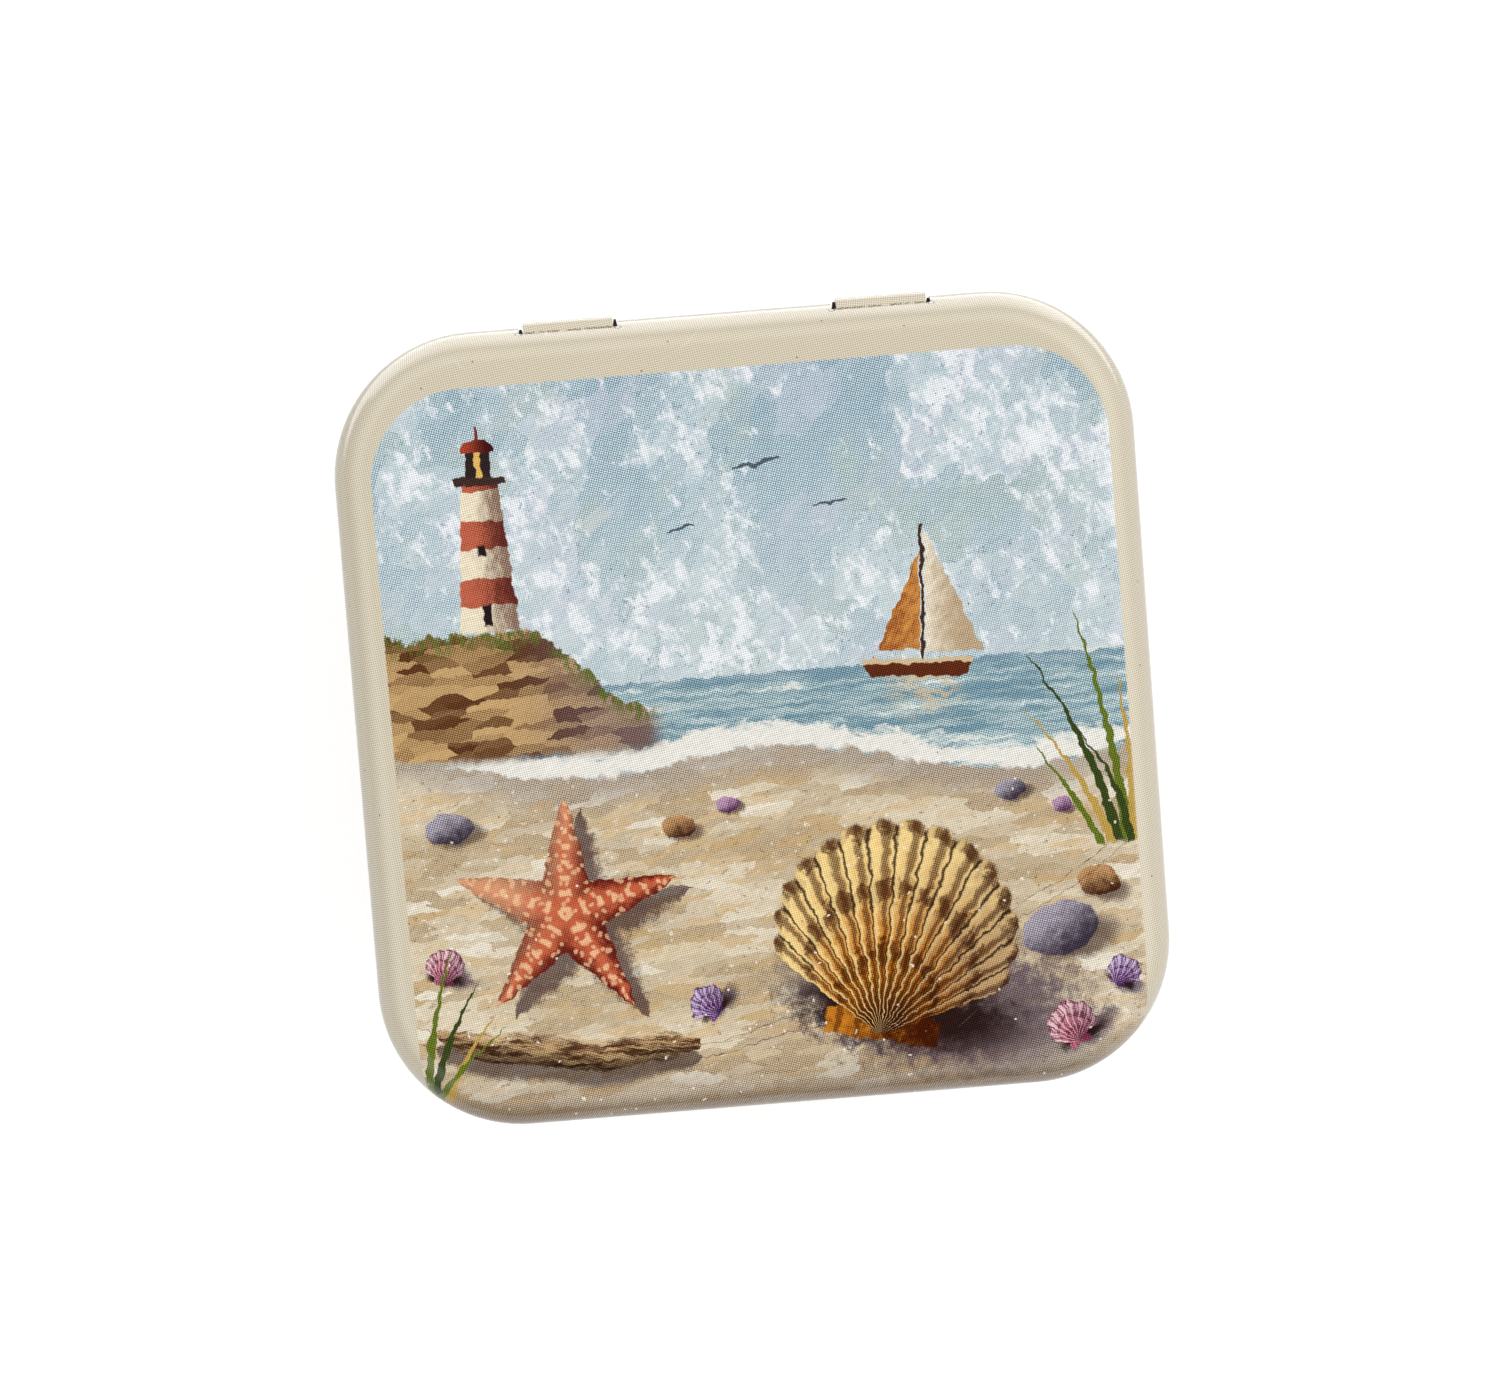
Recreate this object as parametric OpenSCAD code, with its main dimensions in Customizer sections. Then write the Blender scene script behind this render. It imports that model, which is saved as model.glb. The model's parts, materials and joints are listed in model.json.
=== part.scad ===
// Small square tin of printed tinplate, closed, standing on its base.
// Two pressings: a lid with two hinge tongues, and a base whose curled rim is the hinge pin.
// Millimetres, +Z up, the hinge at the back (+Y), the origin at the middle of the tin's underside.

/* [Tin] */
// Width and depth of the lid, over its skirt
tin_w = 60; // [50:1:80]
// Height of the closed tin
tin_h = 20; // [16:0.5:30]
// Radius of the lid's corners, seen from above
corner_r = 10.8; // [9:0.1:14]
// Thickness of the tinplate
sheet_t = 0.25; // [0.2:0.01:0.3]

/* [Lid] */
// Radius of the rounded edge between the lid's top and its skirt
edge_r = 2.6; // [2.2:0.1:3.2]
// Height of the lid, from its top to the bottom of its skirt
lid_h = 8; // [7:0.5:10]
// Height of the fold inside the bottom of the skirt
hem_h = 1.2; // [0.8:0.1:2]
// Radius of the skirt's lower corner where it ends in front of each rear corner
skirt_end_r = 2; // [1:0.1:2.5]
// Radius in the corner where the skirt steps up to the short back edge
step_up_r = 0.8; // [0.4:0.1:1.2]

/* [Catch] */
// Distance between the two dimples in the front of the skirt
dimple_spacing = 24; // [16:1:32]
// Radius of the ball that presses a dimple
dimple_r = 3; // [2:0.1:4]
// Depth of a dimple
dimple_depth = 0.25; // [0.15:0.01:0.3]
// Distance from the underside of the rim down to the middle of a dimple
dimple_drop = 1; // [0.8:0.1:1.4]

/* [Base] */
// Outer radius of the curled rim
rim_r = 0.6; // [0.5:0.01:0.75]
// Outer radius between the wall and the foot
foot_r = 2; // [1.5:0.1:3]
// Width of the flat ring that the tin stands on
foot_w = 1.5; // [1:0.1:2]
// Height of the raised floor above the foot
floor_rise = 0.5; // [0.3:0.05:0.8]

/* [Hinge] */
// Width of a hinge tongue
tongue_w = 6.7; // [5:0.1:9]
// Distance between the middles of the two tongues
tongue_spacing = 23.4; // [16:0.1:28]
// How far the tongues stand out behind the lid's back
tongue_proud = 0.38; // [0.3:0.01:0.5]
// How far in front of the lid's back the tongues spring out of its rounded edge
tongue_root = 0.4; // [0.3:0.01:0.5]
// Direction in which the curled end of a tongue stops, in degrees, with 90 above the pin
tongue_end_a = 100; // [95:1:130]
// Width of the slit in the lid's back on each side of a tongue
slit_w = 0.35; // [0.25:0.05:0.6]
// Depth of the windows below the pin's middle
window_drop = 1.8; // [1.7:0.1:2.4]

/* [Clearances] */
// Gap between the rim and the fold inside the lid's skirt
skirt_gap = 0.1; // [0.08:0.01:0.2]
// Running gap between the rim and a tongue curled round it
hinge_gap = 0.08; // [0.05:0.01:0.1]
// Gap between a tongue and each side of its window
window_gap = 0.3; // [0.2:0.05:0.5]
// Height of the lid's short back edge above the pin's middle
back_gap = 0.1; // [0.05:0.01:0.2]

/* [Hidden] */

// Segments of the large arcs and of the small ones
arc_fn = 96;
curl_fn = 48;
// Length that a cutting shape runs past what it cuts
past = 1;
// Width over which a flat sheet laps the ring round it
lap_w = 0.5;

// The lid's middle lies in front of the origin, so that the tin with its tongues is centred on it
lid_y = -tongue_proud / 2;
half = tin_w / 2;
// Distance from the lid's middle to the centres of its corners, which the base shares
corner_c = half - corner_r;

// Curled rim: outermost face, middle of the curl, and the wall below it
rim_out = half - 2 * sheet_t - skirt_gap;
pin_c = rim_out - rim_r;
wall_in = pin_c - rim_r;
wall_out = wall_in + sheet_t;
// Direction in which the curl's edge stops, short of the wall
rim_end_a = -120;

// Tongue: snug round the pin below and inside it, and a wider bow behind it
snug_out = rim_r + hinge_gap + sheet_t;
bow_out = half + tongue_proud - pin_c;
// Where the bow springs out of the lid's rounded edge
root_y = half - tongue_root;
root_z = tin_h - edge_r + sqrt(pow(edge_r, 2) - pow(edge_r - tongue_root, 2));
bow_z = root_z - sqrt(pow(bow_out, 2) - pow(root_y - pin_c, 2));
root_a = atan2(root_z - bow_z, root_y - pin_c);
// Height of the pin's middle: there both arcs of a tongue meet under the pin
pin_z = bow_z - bow_out + snug_out;
// Extra turn that buries the end of an arc in the sheet that it joins
lap_a = 4;
// Top of the slits and of the opening that a tongue leaves in the lid's back
slit_top = root_z - 0.6 * sheet_t;

skirt_z = tin_h - lid_h;
back_edge_z = pin_z + back_gap;
dimple_z = pin_z - rim_r - dimple_drop;
dimple_y = -half + sheet_t + dimple_depth - dimple_r;

// Radii of the base's wall and foot round the corner centres
wall_r = wall_out - corner_c;
foot_out = wall_r - foot_r;
foot_in = foot_out - foot_w;
// Step from the foot up to the floor: two equal arcs, each turning through step_a
step_a = 60;
step_mid_r = floor_rise / (2 * (1 - cos(step_a)));
step_out = step_mid_r + sheet_t / 2;
floor_r = foot_in - 2 * step_mid_r * sin(step_a);

// Part of a ring of sheet, from one direction to the other, in degrees
module arc_strip(outer_r, from_a, to_a) {
    steps = ceil((to_a - from_a) / 60);
    reach = 2 * outer_r + sheet_t;
    fan = [for (i = [0:steps])
        let (a = from_a + (to_a - from_a) * i / steps) [reach * cos(a), reach * sin(a)]];
    intersection() {
        difference() {
            circle(r = outer_r, $fn = curl_fn);
            circle(r = outer_r - sheet_t, $fn = curl_fn);
        }
        polygon(concat([[0, 0]], fan));
    }
}

// Carries a profile round a square with round corners; its X is measured from the corner centres
module sweep_round() {
    for (quarter = [0:3])
        rotate(90 * quarter) {
            translate([corner_c, corner_c, 0])
                rotate_extrude(angle = 90, $fn = arc_fn)
                    children();
            translate([corner_c, corner_c, 0])
                rotate([90, 0, 0])
                    linear_extrude(2 * corner_c)
                        children();
        }
}

// Flat sheet with round corners that closes the ring inside a swept profile
module sheet_plate(plate_r, z) {
    translate([0, 0, z])
        linear_extrude(sheet_t) {
            square([2 * corner_c, 2 * (corner_c + plate_r)], center = true);
            square([2 * (corner_c + plate_r), 2 * corner_c], center = true);
            for (x = [-1, 1], y = [-1, 1])
                translate([x * corner_c, y * corner_c])
                    circle(r = plate_r, $fn = arc_fn);
        }
}

// Extrudes an outline drawn in Y and Z along X, centred
module along_x(width) {
    translate([-width / 2, 0, 0])
        rotate([90, 0, 90])
            linear_extrude(width)
                children();
}

// Repeats a piece at both tongues
module at_tongues() {
    for (side = [-1, 1])
        translate([side * tongue_spacing / 2, 0, 0])
            children();
}

// Section through the lid's edge: a strip of its top, the rounding, the skirt, and a fold inside it
module lid_section() {
    translate([corner_r - edge_r - lap_w, tin_h - sheet_t])
        square([lap_w, sheet_t]);
    translate([corner_r - edge_r, tin_h - edge_r])
        arc_strip(edge_r, 0, 90);
    translate([corner_r - sheet_t, skirt_z + sheet_t])
        square([sheet_t, lid_h - edge_r - sheet_t]);
    translate([corner_r - sheet_t, skirt_z + sheet_t])
        circle(r = sheet_t, $fn = curl_fn);
    translate([corner_r - 2 * sheet_t, skirt_z + sheet_t])
        square([sheet_t, hem_h - sheet_t]);
}

// What a square corner loses when it is rounded, drawn from the centre of the rounding
module corner_waste(r) {
    difference() {
        square(r);
        circle(r = r, $fn = curl_fn);
    }
}

// What is trimmed from the skirt at the back and the rear corners, seen from the side
module back_trim() {
    difference() {
        translate([corner_c, skirt_z - past])
            square([corner_r + past, back_edge_z - skirt_z + past]);
        translate([corner_c + step_up_r, back_edge_z - step_up_r])
            mirror([1, 0])
                corner_waste(step_up_r);
    }
    translate([corner_c - skirt_end_r, skirt_z + skirt_end_r])
        mirror([0, 1])
            corner_waste(skirt_end_r);
}

// Opening in the lid's back that leaves room for a tongue and its slits
module tongue_opening() {
    translate([0, 0, pin_z])
        along_x(tongue_w + 2 * slit_w)
            translate([half - edge_r, -past])
                square([edge_r + past, slit_top - pin_z + past]);
}

// Section through a tongue, from its root on the lid to its curled end
module tongue_section() {
    translate([pin_c, bow_z])
        arc_strip(bow_out, -90, root_a + lap_a);
    translate([pin_c, pin_z])
        arc_strip(snug_out, tongue_end_a, 270);
}

// Sheet pressed in by a dimple, and the hollow that it leaves outside
module dimple(r) {
    for (side = [-1, 1])
        translate([side * dimple_spacing / 2, dimple_y, dimple_z])
            sphere(r = r, $fn = curl_fn);
}

module dimple_sheet() {
    intersection() {
        dimple(dimple_r);
        translate([-half, -half, skirt_z])
            cube([tin_w, corner_r, lid_h - edge_r]);
    }
}

module lid() {
    color("wheat")
        translate([0, lid_y, 0]) {
            difference() {
                union() {
                    sweep_round() lid_section();
                    sheet_plate(corner_r - edge_r, tin_h - sheet_t);
                    dimple_sheet();
                }
                along_x(tin_w + 2 * past) back_trim();
                at_tongues() tongue_opening();
                dimple(dimple_r - sheet_t);
            }
            at_tongues() along_x(tongue_w) tongue_section();
        }
}

// Section through the base's edge: rim, wall, foot, the step up to the floor, and a strip of it
module base_section() {
    translate([pin_c - corner_c, pin_z])
        arc_strip(rim_r, rim_end_a, 180);
    translate([wall_r - sheet_t, foot_r])
        square([sheet_t, pin_z - foot_r]);
    translate([foot_out, foot_r])
        arc_strip(foot_r, -90, 0);
    translate([foot_in, 0])
        square([foot_w, sheet_t]);
    translate([foot_in, step_out])
        arc_strip(step_out, -90 - step_a - lap_a, -90);
    translate([floor_r, floor_rise + sheet_t - step_out])
        arc_strip(step_out, 90 - step_a, 90);
    translate([floor_r - lap_w, floor_rise])
        square([lap_w, sheet_t]);
}

// Window in the base's back, under the pin, for a tongue to pass through
module window_opening() {
    translate([0, 0, pin_z - window_drop])
        along_x(tongue_w + 2 * window_gap)
            translate([wall_in - past, 0])
                square([past + sheet_t + hinge_gap / 2, window_drop]);
}

module base() {
    color("tan")
        translate([0, lid_y, 0])
            difference() {
                union() {
                    sweep_round() base_section();
                    sheet_plate(floor_r, floor_rise);
                }
                at_tongues() window_opening();
            }
}

base();
lid();
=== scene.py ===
import json
import math
from types import SimpleNamespace

import bpy
from mathutils import Matrix, Vector


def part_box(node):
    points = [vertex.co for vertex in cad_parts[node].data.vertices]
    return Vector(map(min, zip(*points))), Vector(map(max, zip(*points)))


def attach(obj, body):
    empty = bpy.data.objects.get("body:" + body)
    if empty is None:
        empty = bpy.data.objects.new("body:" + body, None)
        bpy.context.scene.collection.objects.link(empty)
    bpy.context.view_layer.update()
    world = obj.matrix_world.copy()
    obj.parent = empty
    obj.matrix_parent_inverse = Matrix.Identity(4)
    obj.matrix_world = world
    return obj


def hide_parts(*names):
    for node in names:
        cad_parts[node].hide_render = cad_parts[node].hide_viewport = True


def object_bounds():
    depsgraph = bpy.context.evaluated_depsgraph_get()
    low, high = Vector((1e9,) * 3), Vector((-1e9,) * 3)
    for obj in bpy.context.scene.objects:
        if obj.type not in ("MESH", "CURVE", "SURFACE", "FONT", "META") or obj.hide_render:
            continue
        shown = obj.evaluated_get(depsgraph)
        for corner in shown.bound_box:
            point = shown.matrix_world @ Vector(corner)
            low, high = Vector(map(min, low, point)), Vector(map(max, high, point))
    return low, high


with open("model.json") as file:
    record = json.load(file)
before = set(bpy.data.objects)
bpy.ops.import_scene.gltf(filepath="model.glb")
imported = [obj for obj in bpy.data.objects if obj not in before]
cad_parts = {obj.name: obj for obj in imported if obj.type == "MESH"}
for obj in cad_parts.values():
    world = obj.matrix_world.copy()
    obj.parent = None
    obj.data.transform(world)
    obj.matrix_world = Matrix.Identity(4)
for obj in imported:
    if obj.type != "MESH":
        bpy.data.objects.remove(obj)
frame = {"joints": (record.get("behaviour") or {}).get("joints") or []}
cadLow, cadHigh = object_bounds()
mm = 0.001

# Sizes that the pieces share, taken from the frame where it holds them
lidLow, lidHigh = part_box("lid")
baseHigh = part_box("base")[1]
pinY, pinZ = frame["joints"][0]["pos_m"][1:]
sheetT = 0.25 * mm
half = (lidHigh.x - lidLow.x) / 2
middleY = lidLow.y + half  # the lid's middle; the tongues reach past it at the back
topZ = lidHigh.z
cornerR = 10.8 * mm
cornerC = half - cornerR  # from the middle to the centres of the four corners
pinC = pinY - middleY
rimR = baseHigh.x - pinC
near = 0.01 * mm  # places closer than this count as one
past = 1 * mm  # how far a cutter runs past what it cuts
floorInset = 0.4 * mm  # width of the ring of faces round each flat sheet
cutSlot = 2  # a sheet's materials are its outside, its inside and its cut edge
print("frame loaded: tin", round(half * 2 / mm, 2), "mm wide,", round(topZ / mm, 2), "mm high")


def startLine(name, at):
    # One point, from which a sheet's section is drawn
    bpy.ops.object.select_all(action="DESELECT")
    bpy.ops.mesh.primitive_plane_add(size=mm, location=at)
    bpy.ops.object.transform_apply(location=True, rotation=False, scale=False)
    piece = bpy.context.object
    piece.name = piece.data.name = name
    bpy.ops.object.mode_set(mode="EDIT")
    bpy.ops.mesh.select_mode(type="VERT")
    bpy.ops.mesh.select_all(action="SELECT")
    bpy.ops.mesh.merge(type="CENTER")
    return piece


def turnOut(inside=False):
    # Turns every face's outer side outwards
    bpy.ops.mesh.select_all(action="SELECT")
    bpy.ops.mesh.normals_make_consistent(inside=inside)


def lineTo(move):
    bpy.ops.mesh.extrude_region_move(TRANSFORM_OT_translate={"value": move})


def arcRound(centre, axis, degrees, steps):
    # With no window a spin turns the other way, so the angle is given its other sign
    bpy.ops.mesh.spin(steps=steps, angle=-math.radians(degrees), center=centre, axis=axis)


def atFront(r, z):
    # A point of a section, drawn at the left end of the straight front; r is from the corner centres
    return Vector((-cornerC, middleY - cornerC - r, z))


def bendTo(r, z, degrees, steps):
    arcRound(atFront(r, z), (1, 0, 0), -degrees, steps)


def sweepRoundTin(steps, curlsOut=False):
    # Carries the drawn section along the front and on round the four corners
    bpy.ops.mesh.select_all(action="SELECT")
    for wayX, wayY in ((1, 0), (0, 1), (-1, 0), (0, -1)):
        lineTo(Vector((wayX, wayY, 0)) * 2 * cornerC)
        x, y = wayX + wayY, wayY - wayX
        arcRound((x * cornerC, middleY + y * cornerC, 0), (0, 0, 1), 90, steps)
    bpy.ops.mesh.select_all(action="SELECT")
    bpy.ops.mesh.remove_doubles(threshold=near / 2)
    turnOut(inside=curlsOut)  # a rim curled outwards misleads it


def pick(piece, kind, wanted):
    # Selects faces, edges or points by their place; edit mode stays on
    bpy.ops.object.mode_set(mode="OBJECT")
    mesh = piece.data
    for group in (mesh.vertices, mesh.edges, mesh.polygons):
        group.foreach_set("select", [False] * len(group))
    if kind == "FACE":
        for face in mesh.polygons:
            face.select = wanted(face.center, face.normal)
    elif kind == "EDGE":
        for edge in mesh.edges:
            edge.select = wanted(*(mesh.vertices[i].co for i in edge.vertices))
    else:
        for point in mesh.vertices:
            point.select = wanted(point.co)
    bpy.ops.object.mode_set(mode="EDIT")
    bpy.ops.mesh.select_mode(type=kind)


def closeFloor(piece, r, z):
    # Fills the opening inside a swept section with one flat face and a narrow ring round it
    reach = cornerC + r + near

    def onRing(a, b):
        return all(
            abs(p.z - z) < near and abs(p.x) < reach and abs(p.y - middleY) < reach
            and (max(abs(p.x), abs(p.y - middleY)) > reach - 2 * near or fromCorner(p) > r - near)
            for p in (a, b)
        )

    pick(piece, "EDGE", onRing)
    bpy.ops.mesh.edge_face_add()
    bpy.ops.mesh.inset(thickness=floorInset, depth=0)
    bpy.ops.object.mode_set(mode="OBJECT")


def fromCorner(p):
    # How far a point lies from the corner centres' square, as the section's own radius
    x = max(abs(p.x) - cornerC, 0)
    y = max(abs(p.y - middleY) - cornerC, 0)
    return math.hypot(x, y)


def takeUp(*pieces):
    # Selects these pieces alone; the last one is the active one
    bpy.ops.object.select_all(action="DESELECT")
    for piece in pieces:
        piece.select_set(True)
    bpy.context.view_layer.objects.active = pieces[-1]


def addModifier(piece, kind, **values):
    takeUp(piece)
    modifier = piece.modifiers.new(kind.title(), kind)
    for name, value in values.items():
        setattr(modifier, name, value)
    bpy.ops.object.modifier_apply(modifier=modifier.name)


def thicken(piece):
    # Outer face, inner face and cut edge take the first, second and third material
    addModifier(
        piece, "SOLIDIFY", thickness=sheetT, offset=0, use_even_offset=True,
        material_offset=1, material_offset_rim=cutSlot,
    )


def cutAway(piece, cutter):
    addModifier(piece, "BOOLEAN", object=cutter, operation="DIFFERENCE", solver="EXACT")
    bpy.data.objects.remove(cutter)


def smoothOver(piece, degrees=35):
    takeUp(piece)
    bpy.ops.object.shade_smooth_by_angle(angle=math.radians(degrees))
    addModifier(piece, "WEIGHTED_NORMAL", mode="FACE_AREA", keep_sharp=True)


def giveMaterials(piece, materials, slot=0):
    # All of its faces take the one in this slot
    piece.data.materials.clear()
    for material in materials:
        piece.data.materials.append(material)
    piece.data.polygons.foreach_set("material_index", [slot] * len(piece.data.polygons))


def mapPrint(piece, flatten):
    # The print's own map, in metres: the sheet laid flat again
    layer = piece.data.uv_layers.new(name="print")
    points = piece.data.vertices
    for face in piece.data.polygons:
        for index in face.loop_indices:
            layer.data[index].uv = flatten(points[piece.data.loops[index].vertex_index].co, face.center)


def cutAtTongues(shell, halfW, low, high, materials):
    # Cuts the same box out of a shell at both tongues; low and high are its y and z
    for side in (-1, 1):
        middle = Vector((side * tongue["spacing"] / 2, (low[0] + high[0]) / 2, (low[1] + high[1]) / 2))
        bpy.ops.object.select_all(action="DESELECT")
        bpy.ops.mesh.primitive_cube_add(size=1, location=middle)
        cutter = bpy.context.object
        cutter.scale = (2 * halfW, high[0] - low[0], high[1] - low[1])
        bpy.ops.object.transform_apply(location=True, rotation=True, scale=True)
        giveMaterials(cutter, materials, cutSlot)
        cutAway(shell, cutter)


class Field:
    # A number that varies over the surface; a sum written with it becomes Math nodes
    def __init__(self, tree, socket):
        self.tree, self.socket = tree, socket

    def maths(self, operation, *others):
        feeds = dict(enumerate((self, *others)))
        return Field(self.tree, wire(self.tree, "Math", feeds, operation=operation).outputs[0])

    def __add__(self, other):
        return self.maths("ADD", other)

    def __sub__(self, other):
        return self.maths("SUBTRACT", other)

    def __mul__(self, other):
        return self.maths("MULTIPLY", other)

    def __truediv__(self, other):
        return self.maths("DIVIDE", other)

    def __rsub__(self, other):
        return self.maths("MULTIPLY_ADD", -1, other)

    def __pow__(self, other):
        return self.maths("POWER", other)

    def __abs__(self):
        return self.maths("ABSOLUTE")

    __radd__, __rmul__ = __add__, __mul__

    def sine(self):
        return self.maths("SINE")

    def cosine(self):
        return self.maths("COSINE")

    def most(self, other):
        return self.maths("MAXIMUM", other)

    def fade(self, low, high):
        # 0 before low and 1 past high; the other way round where low is the larger
        feeds = {"Value": self, "From Min": low, "From Max": high}
        ramp = wire(self.tree, "MapRange", feeds, interpolation_type="SMOOTHSTEP")
        return Field(self.tree, ramp.outputs[0])


def feed(tree, node, feeds):
    # Links or sets what a node is fed with
    for key, value in feeds.items():
        if isinstance(value, Field):
            value = value.socket
        if isinstance(value, bpy.types.NodeSocket):
            tree.links.new(value, node.inputs[key])
        else:
            node.inputs[key].default_value = value


def wire(tree, kind, feeds, **settings):
    node = tree.nodes.new("ShaderNode" + kind)
    for name, value in settings.items():
        setattr(node, name, value)
    feed(tree, node, feeds)
    return node


def ink(red, green, blue, gain=0.86):
    # A printed colour as the eye names it, 0 to 255, made the paint's own reflectance
    def straight(c):
        c /= 255
        return c / 12.92 if c <= 0.04045 else ((c + 0.055) / 1.055) ** 2.4
    return (*(straight(c) * gain for c in (red, green, blue)), 1)


def blend(tree, share, under, over, how="MIX"):
    # A colour of three numbers is an ink
    under, over = (ink(*c) if isinstance(c, tuple) and len(c) == 3 else c for c in (under, over))
    feeds = {0: share, 6: under, 7: over}
    return wire(tree, "Mix", feeds, data_type="RGBA", blend_type=how).outputs[2]


def lay(tree, colour, *coats):
    # Coats of paint, one over another: the share and the colour of each
    for share, over in coats:
        colour = blend(tree, share, colour, over)
    return colour


def away(x, y):
    return (x * x + y * y) ** 0.5


def spot(x, y, at, size, outer, inner):
    # A soft round spot, from the square of the distance
    x, y = (x - at[0]) / size[0], (y - at[1]) / size[1]
    return (x * x + y * y).fade(outer, inner)


def across(tree, vector):
    split = wire(tree, "SeparateXYZ", {0: vector})
    return Field(tree, split.outputs[0]), Field(tree, split.outputs[1])


def mapped(tree, vector, at=(0, 0), size=(1, 1), degrees=0, kind="TEXTURE"):
    turn = (0, 0, math.radians(degrees))
    feeds = {"Vector": vector, "Location": (*at, 0), "Rotation": turn, "Scale": (*size, 1)}
    return wire(tree, "Mapping", feeds, vector_type=kind).outputs[0]


def grain(tree, vector, scale, detail=2.0, rough=0.5, stretch=(1, 1), degrees=0):
    vector = mapped(tree, vector, (scale * 7.3, scale * 3.1), (1 / stretch[0], 1 / stretch[1]), degrees)
    feeds = {"Vector": vector, "Scale": scale, "Detail": detail, "Roughness": rough}
    return Field(tree, wire(tree, "TexNoise", feeds, noise_dimensions="2D").outputs[0])


def within(on, at, size=(1, 1), degrees=0):
    # The place as seen from a motif: its own middle, size and turn
    c, s = math.cos(math.radians(degrees)), math.sin(math.radians(degrees))

    def along(wayX, wayY, scale):
        start = at[0] * wayX + at[1] * wayY
        rest = on.y.maths("MULTIPLY_ADD", wayY / scale, -start / scale)
        return on.x.maths("MULTIPLY_ADD", wayX / scale, rest)

    return along(c, s, size[0]), along(-s, c, size[1])


def newGroup(name, inputs, outputs):
    group = bpy.data.node_groups.new(name, "ShaderNodeTree")
    kinds = {"vector": "NodeSocketVector", "number": "NodeSocketFloat", "colour": "NodeSocketColor"}
    for label, kind in inputs.items():
        group.interface.new_socket(label, in_out="INPUT", socket_type=kinds[kind])
    for label, kind in outputs.items():
        group.interface.new_socket(label, in_out="OUTPUT", socket_type=kinds[kind])
    return group, group.nodes.new("NodeGroupInput").outputs


def useGroup(tree, group, feeds):
    return wire(tree, "Group", feeds, node_tree=group).outputs


def closeGroup(group, *results):
    sink = group.nodes.new("NodeGroupOutput")
    for index, value in enumerate(results):
        group.links.new(value.socket if isinstance(value, Field) else value, sink.inputs[index])


def shakenCanvas(tree, place):
    # The place shaken by noise, so that every edge in the picture looks hand painted
    shaken, source = newGroup("hand_shake", {"place": "vector"}, {"place": "vector"})
    moves = [
        (grain(shaken, source[0], picture["shakeScale"], 2.0, 0.6, degrees=turn) - 0.5) * picture["shake"]
        for turn in (20, 110)
    ]
    by = wire(shaken, "CombineXYZ", {0: moves[0], 1: moves[1]}).outputs[0]
    closeGroup(shaken, wire(shaken, "VectorMath", {0: source[0], 1: by}).outputs[0])
    return useGroup(tree, shaken, {0: place})[0]


def cells(tree, vector, scale=1.0):
    # Scattered cells: how far a point is from its cell's middle, that middle, and the cell's own number
    cell = wire(tree, "TexVoronoi", {"Vector": vector, "Scale": scale}, voronoi_dimensions="2D")
    middle = cell.outputs["Position"]
    own = wire(tree, "TexWhiteNoise", {"Vector": middle}, noise_dimensions="2D").outputs[0]
    return SimpleNamespace(far=Field(tree, cell.outputs["Distance"]), middle=middle, own=Field(tree, own))


def dabs(tree, vector, size, degrees):
    # Brush dabs: all of a dab takes its colour from its middle
    group, source = newGroup("brush_dabs", {"place": "vector"}, {"middle": "vector", "own": "number"})
    dab = cells(group, mapped(group, source[0], (0, 0), size, degrees))
    closeGroup(group, mapped(group, dab.middle, (0, 0), size, degrees, "POINT"), dab.own)
    outputs = useGroup(tree, group, {0: vector})
    return outputs[0], Field(tree, outputs[1])


def layer(on, under, paint, *values):
    # Each painted thing is a node group, which takes what is under it and gives it back painted over
    feeds = {name: value for name, value in vars(on).items() if name != "tree"}
    kinds = {name: "number" if isinstance(value, Field) else "vector" for name, value in feeds.items()}
    group, source = newGroup(paint.__name__, {**kinds, "under": "colour"}, {"colour": "colour"})
    inner = SimpleNamespace(tree=group)
    for name, kind in kinds.items():
        setattr(inner, name, Field(group, source[name]) if kind == "number" else source[name])
    closeGroup(group, paint(inner, source["under"], *values))
    colour = useGroup(on.tree, group, {**feeds, "under": under})[0]
    # The next layer's place waits for this one's colour, so that the render holds few values at a time
    settled = Field(on.tree, wire(on.tree, "RGBToBW", {0: colour}).outputs[0])
    on.x, on.y = (settled.maths("MULTIPLY_ADD", 1e-12, way) for way in (on.x, on.y))
    return colour


def paintSky(on, under):
    tree = on.tree
    broad = grain(tree, on.sky, 0.085, 3)
    lilac = grain(tree, on.sky, 0.13, 2, 0.5, (1, 1.7), 40)
    green = grain(tree, on.sky, 0.11, 2, 0.5, (1.6, 1))
    dry = grain(tree, on.place, 0.75, 7, 0.72, (1, 0.6), 25)
    spots = grain(tree, on.place, 1.9, 4, 0.7).fade(0.60, 0.68)
    return lay(
        tree, (184, 203, 211),
        (broad.fade(0.40, 0.60), (216, 227, 230)),
        (on.y.fade(26, 4) * 0.55, (230, 236, 235)),
        (lilac.fade(0.5, 0.68) * 0.55, (220, 223, 232)),
        (green.fade(0.54, 0.68) * 0.6, (203, 215, 210)),
        (on.skyOwn * 0.35, (180, 200, 210)),
        ((dry + broad * 0.5).fade(0.76, 0.92) * 0.85, (248, 250, 252)),
        (spots * grain(tree, on.place, 0.16, 2).fade(0.50, 0.60) * 0.55, (148, 172, 187)),
    )


def shoreAt(x):
    return (x * 0.2 + 1.2).sine() * 1.1 - x * 0.05 - 3.4


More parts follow.
